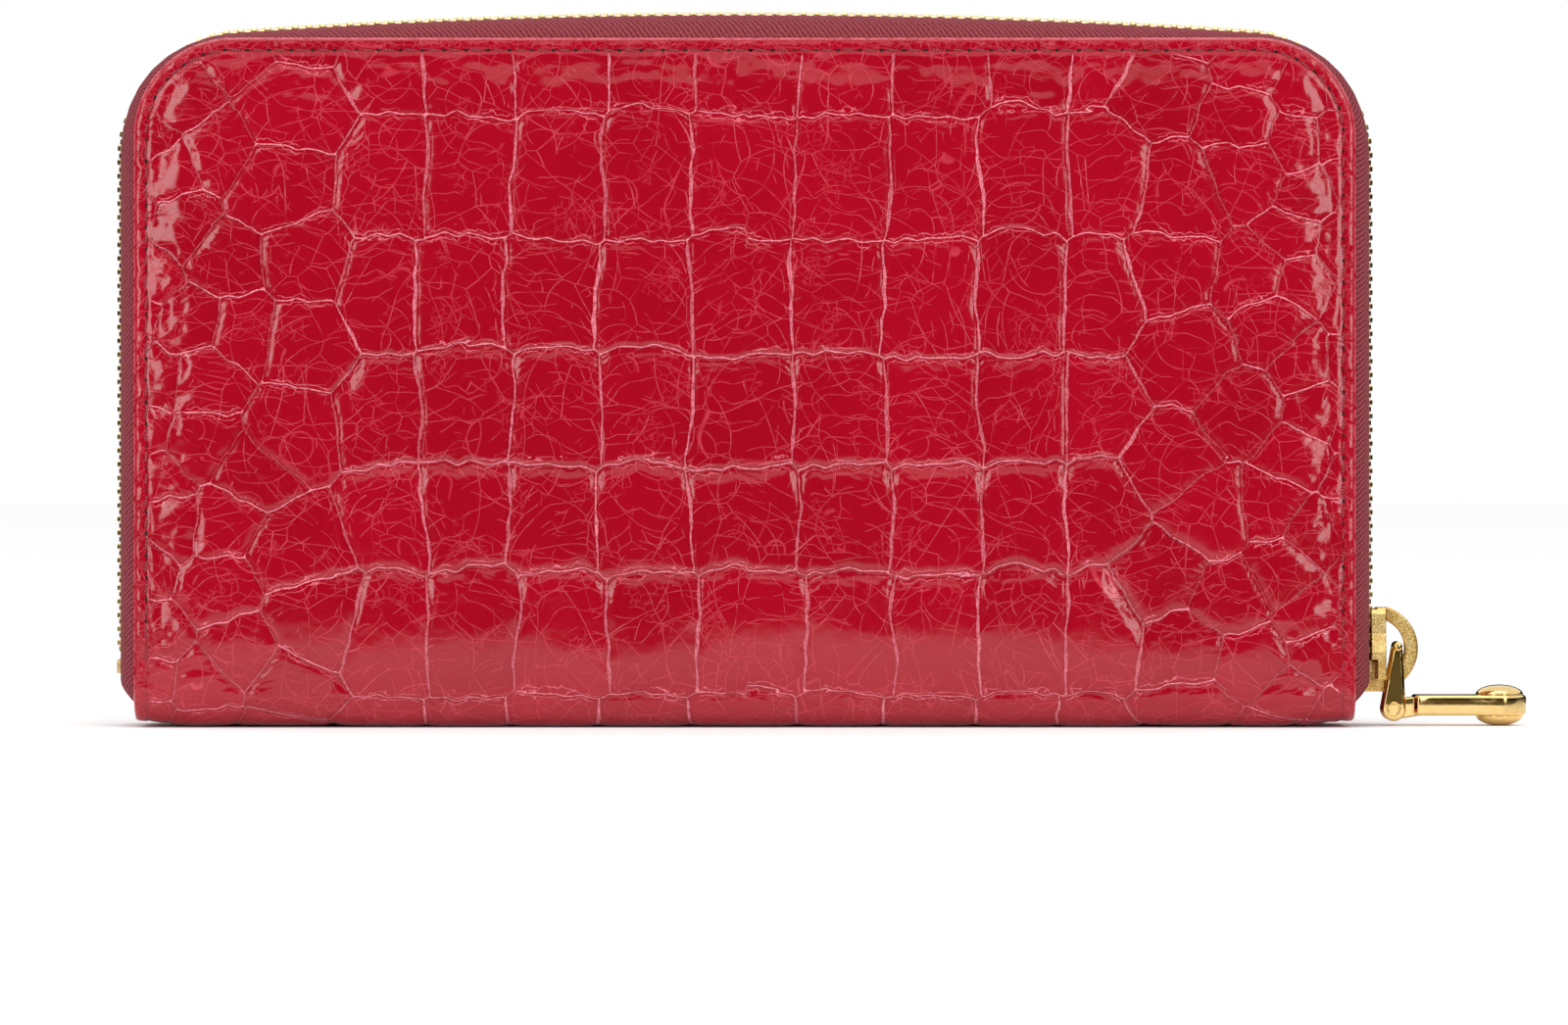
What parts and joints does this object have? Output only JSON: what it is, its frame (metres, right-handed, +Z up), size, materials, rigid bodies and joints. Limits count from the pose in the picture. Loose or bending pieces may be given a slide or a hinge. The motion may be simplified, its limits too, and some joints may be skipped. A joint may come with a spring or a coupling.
{
  "type": "zip around wallet",
  "caption": "Long leather wallet with scale relief, a metal zip round three sides, a hanging pull, card slots and a zipped coin pocket inside.",
  "frame": {"origin": "centre of the spine's flat underside, on which the closed wallet stands", "axes": "+X towards the side where the zip's pull hangs, -Y towards the front cover, +Z up from the spine to the zip's arched top edge"},
  "size_m": [0.2206, 0.0254, 0.1118],
  "materials": {
    "leather": "gloss",
    "inner_leather": "satin",
    "zip_cloth": "matte",
    "thread": "satin",
    "board": "matte",
    "teeth_metal": "polished",
    "satin_gold": "satin",
    "polished_gold": "polished"
  },
  "bodies": {
    "core": {"spine_leather": "leather", "spine_board": "board", "spine_lining": "inner_leather", "tape_end_front": "zip_cloth", "tape_end_back": "zip_cloth", "teeth_end_front": "teeth_metal", "teeth_end_back": "teeth_metal", "zip_stops": "teeth_metal", "coin_wall_front": "inner_leather", "coin_wall_back": "inner_leather", "coin_gusset": "inner_leather", "coin_tape_front": "zip_cloth", "coin_tape_back": "zip_cloth", "coin_teeth_front": "teeth_metal", "coin_teeth_back": "teeth_metal", "coin_stops": "teeth_metal", "gusset_front_left": "inner_leather", "gusset_front_right": "inner_leather", "gusset_back_left": "inner_leather", "gusset_back_right": "inner_leather"},
    "front_half": {"cover_front": "leather", "stitch_front": "thread", "board_front": "board", "lining_front": "inner_leather", "tape_front": "zip_cloth", "teeth_front": "teeth_metal", "pocket_front": "inner_leather", "cards_front_1": "inner_leather", "cards_front_2": "inner_leather", "cards_front_3": "inner_leather"},
    "back_half": {"cover_back": "leather", "stitch_back": "thread", "board_back": "board", "lining_back": "inner_leather", "tape_back": "zip_cloth", "teeth_back": "teeth_metal", "pocket_back": "inner_leather", "cards_back_1": "inner_leather", "cards_back_2": "inner_leather", "cards_back_3": "inner_leather"},
    "zip_slider": {"slider_body": "satin_gold", "slider_bridge": "satin_gold"},
    "puller_shackle": {"shackle": "polished_gold", "shackle_pin": "polished_gold"},
    "puller_bar": {"pull_bar": "polished_gold", "pull_stud": "polished_gold"},
    "coin_slider": {"coin_slider_body": "satin_gold", "coin_slider_bridge": "satin_gold"},
    "coin_puller": {"coin_pull": "polished_gold"}
  },
  "joints": [
    {"name": "front_open", "type": "hinge", "parent": "core", "child": "front_half", "pos_m": [0, -0.0125, 0.006], "axis": [1, 0, 0], "range_deg": [0, 35], "deforming": ["gusset_front_left", "gusset_front_right"]},
    {"name": "back_open", "type": "hinge", "parent": "core", "child": "back_half", "pos_m": [0, 0.0125, 0.006], "axis": [-1, 0, 0], "range_deg": [0, 35], "deforming": ["gusset_back_left", "gusset_back_right"]},
    {"name": "zip_slide", "type": "slide", "parent": "core", "child": "zip_slider", "axis": [0, 0, 1], "range_m": [0, 0.066], "deforming": ["teeth_front", "teeth_back", "teeth_end_front", "teeth_end_back"]},
    {"name": "shackle_swing", "type": "hinge", "parent": "zip_slider", "child": "puller_shackle", "pos_m": [0.10215, 0, 0.0124], "axis": [0, -1, 0], "range_deg": [0, 100]},
    {"name": "bar_swing", "type": "hinge", "parent": "puller_shackle", "child": "puller_bar", "pos_m": [0.1015, 0, 0.0026], "axis": [0, -1, 0], "range_deg": [-90, 20]},
    {"name": "coin_slide", "type": "slide", "parent": "core", "child": "coin_slider", "axis": [-1, 0, 0], "range_m": [0, 0.145], "deforming": ["coin_teeth_front", "coin_teeth_back"]},
    {"name": "coin_pull_swing", "type": "hinge", "parent": "coin_slider", "child": "coin_puller", "pos_m": [0.077, 0, 0.0914], "axis": [0, 1, 0], "range_deg": [0, 150]}
  ]
}
